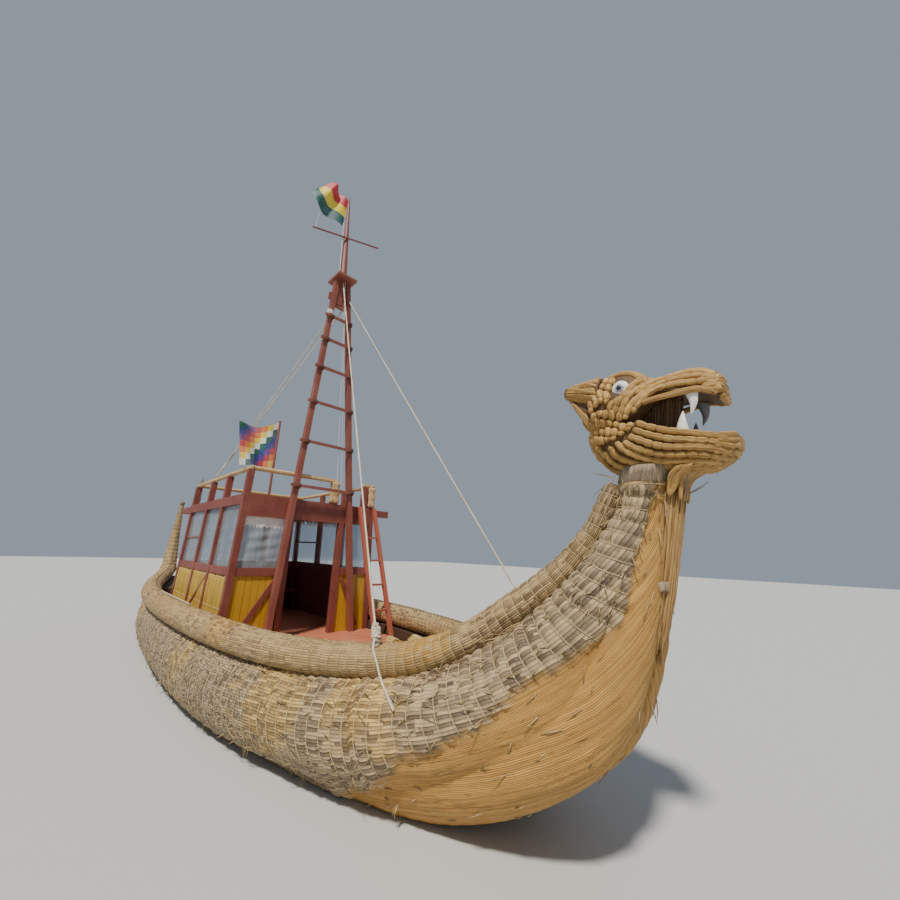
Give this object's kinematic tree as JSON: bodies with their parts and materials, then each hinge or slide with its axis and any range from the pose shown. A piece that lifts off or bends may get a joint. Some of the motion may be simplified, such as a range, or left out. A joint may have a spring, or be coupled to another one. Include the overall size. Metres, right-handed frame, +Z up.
{
  "type": "reed boat",
  "caption": "Reed boat of two bound bundles with rolled gunwales, stern horns, a dragon head at the bow, a glazed timber deck cabin and a ladder mast.",
  "frame": {"origin": "on the waterline, on the centreline, amidships", "axes": "+X towards the bow and the dragon head, +Y to port, +Z up"},
  "size_m": [14.8579, 3.224, 9.8004],
  "materials": {
    "checked_cloth": "thin cloth",
    "deck_paint": "worn orange-red paint",
    "eye_white": "matt white paint",
    "fang_white": "matt white",
    "flag_cloth": "thin cloth",
    "head_reed": "bound dry reed",
    "hull_reed": "bound dry reed, grey where a mat covers it",
    "maroon_timber": "worn maroon paint",
    "mast_timber": "weathered timber",
    "panel_reed": "stitched reed",
    "plastic_sheet": "translucent sheet",
    "pupil_dark": "matt dark paint",
    "rail_reed": "reed wrapping",
    "roll_reed": "reed roll bound with cord",
    "roof_timber": "worn maroon paint",
    "rope": "laid rope",
    "stem_reed": "loose reeds",
    "straw": "loose straw",
    "window_glass": "clear pane",
    "yellow_plank": "yellow varnish"
  },
  "bodies": {
    "root": {"aft_stays": "rope", "boarding_rails": "mast_timber", "boarding_rungs": "mast_timber", "cabin_bench": "maroon_timber", "cabin_braces": "maroon_timber", "cabin_cross_beams": "maroon_timber", "cabin_header": "maroon_timber", "cabin_plank_panels": "yellow_plank", "cabin_posts": "maroon_timber", "cabin_reed_panels": "panel_reed", "cabin_side_beams": "maroon_timber", "cabin_sills": "maroon_timber", "checked_flag": "checked_cloth", "deck_boards": "deck_paint", "eyes": "eye_white", "fangs": "fang_white", "flag_pole": "mast_timber", "fore_shroud": "rope", "forestay": "rope", "front_window_sheet": "plastic_sheet", "gunwale_base_port": "hull_reed", "gunwale_base_starboard": "hull_reed", "gunwale_roll_port": "roll_reed", "gunwale_roll_starboard": "roll_reed", "head_ears": "head_reed", "head_lower_jaw": "head_reed", "head_skull": "head_reed", "head_throat": "head_reed", "head_upper_jaw": "head_reed", "horn_reeds": "stem_reed", "hull_bundle_port": "hull_reed", "hull_bundle_starboard": "hull_reed", "loose_pole": "mast_timber", "mast_head_panel": "mast_timber", "mast_legs": "mast_timber", "mast_platform": "mast_timber", "mast_rungs": "mast_timber", "neck_collar": "roll_reed", "pupils": "pupil_dark", "rail_posts": "maroon_timber", "roof_boards": "roof_timber", "roof_cross_rails": "rail_reed", "roof_side_rails": "rail_reed", "spare_bundles": "rail_reed", "stem_bundle": "stem_reed", "straw_fringe": "straw", "topmast": "mast_timber", "tricolour_flag": "flag_cloth", "window_panes": "window_glass", "yard": "mast_timber"}
  },
  "joints": []
}
